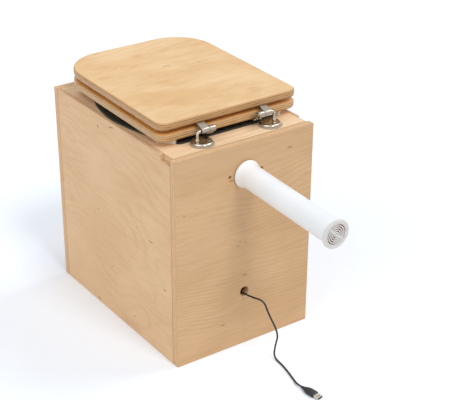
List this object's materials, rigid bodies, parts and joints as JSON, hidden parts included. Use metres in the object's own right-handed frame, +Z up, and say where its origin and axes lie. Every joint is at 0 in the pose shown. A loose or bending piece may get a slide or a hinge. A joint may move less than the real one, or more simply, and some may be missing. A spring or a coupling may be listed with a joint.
{
  "type": "composting toilet",
  "caption": "Plywood box toilet with hinged seat and lid, black urine-diverting insert, fan-driven vent pipe and a USB cord for the fan.",
  "frame": {"origin": "centre of the box's footprint on the floor, under the base panel", "axes": "+Z up, +Y to the rear (vent pipe and cord), -Y to the front, +X to the right of someone who faces the front"},
  "size_m": [0.3178, 0.7037, 0.4863],
  "materials": {
    "ply_side": "satin",
    "ply_ends": "satin",
    "ply_board": "satin",
    "ply_seat": "lacquered satin",
    "ply_inner": "matt",
    "bin_plastic": "matt",
    "canister_plastic": "matt",
    "insert_plastic": "semi-gloss",
    "pipe_plastic": "semi-gloss",
    "cap_plastic": "semi-gloss",
    "mesh_steel": "matt",
    "fan_plastic": "satin",
    "gasket_rubber": "matt",
    "guard_steel": "bright",
    "screw_steel": "bright",
    "hinge_steel": "polished",
    "washer_clear": "clear",
    "stud_steel": "zinc plated",
    "nut_plastic": "smooth",
    "bumper_clear": "translucent",
    "cord_black": "satin",
    "plug_black": "satin",
    "plug_steel": "bright",
    "plug_tongue": "smooth"
  },
  "bodies": {
    "box": {"front_panel": "ply_ends", "rear_panel": "ply_ends", "right_side_panel": "ply_side", "left_side_panel": "ply_side", "base_panel": "ply_inner", "glue_blocks": "ply_inner", "board_cleats": "ply_inner", "container_rails": "ply_inner", "solids_bin": "bin_plastic", "urine_canister": "canister_plastic", "vent_pipe": "pipe_plastic", "vent_end_cap": "cap_plastic", "insect_mesh": "mesh_steel", "fan_gasket": "gasket_rubber", "fan_frame": "fan_plastic", "fan_guard": "guard_steel", "fan_screws": "screw_steel", "fan_lead": "cord_black", "lead_clips": "plug_black", "usb_cord": "cord_black", "usb_boot": "plug_black", "usb_plug_body": "plug_black", "usb_shell": "plug_steel", "usb_tongue": "plug_tongue"},
    "fan_wheel": {"fan_rotor": "fan_plastic"},
    "board": {"top_board": "ply_board", "diverter_insert": "insert_plastic", "left_hinge_washer": "washer_clear", "right_hinge_washer": "washer_clear", "left_rosette": "hinge_steel", "right_rosette": "hinge_steel", "left_hinge_pin": "hinge_steel", "right_hinge_pin": "hinge_steel", "hinge_studs": "stud_steel", "wing_nuts": "nut_plastic"},
    "seat": {"seat_ring": "ply_seat", "left_seat_leaf": "hinge_steel", "right_seat_leaf": "hinge_steel", "seat_leaf_screws": "screw_steel", "seat_rear_bumpers": "bumper_clear", "seat_front_bumpers": "bumper_clear"},
    "lid": {"lid_panel": "ply_seat", "left_lid_leaf": "hinge_steel", "right_lid_leaf": "hinge_steel", "lid_leaf_screws": "screw_steel", "lid_bumpers": "bumper_clear"}
  },
  "joints": [
    {"name": "top_board_lift", "type": "slide", "parent": "box", "child": "board", "axis": [0, 0, 1], "range_m": [0, 0.12]},
    {"name": "seat_hinge", "type": "hinge", "parent": "board", "child": "seat", "pos_m": [-0.0075, 0.18, 0.455], "axis": [-1, 0, 0], "range_deg": [0, 75]},
    {"name": "lid_hinge", "type": "hinge", "parent": "seat", "child": "lid", "pos_m": [-0.0075, 0.18, 0.455], "axis": [-1, 0, 0], "range_deg": [0, 92]},
    {"name": "fan_spin", "type": "hinge", "parent": "box", "child": "fan_wheel", "pos_m": [0, 0.1975, 0.369], "axis": [0, 1, 0], "continuous": true}
  ]
}
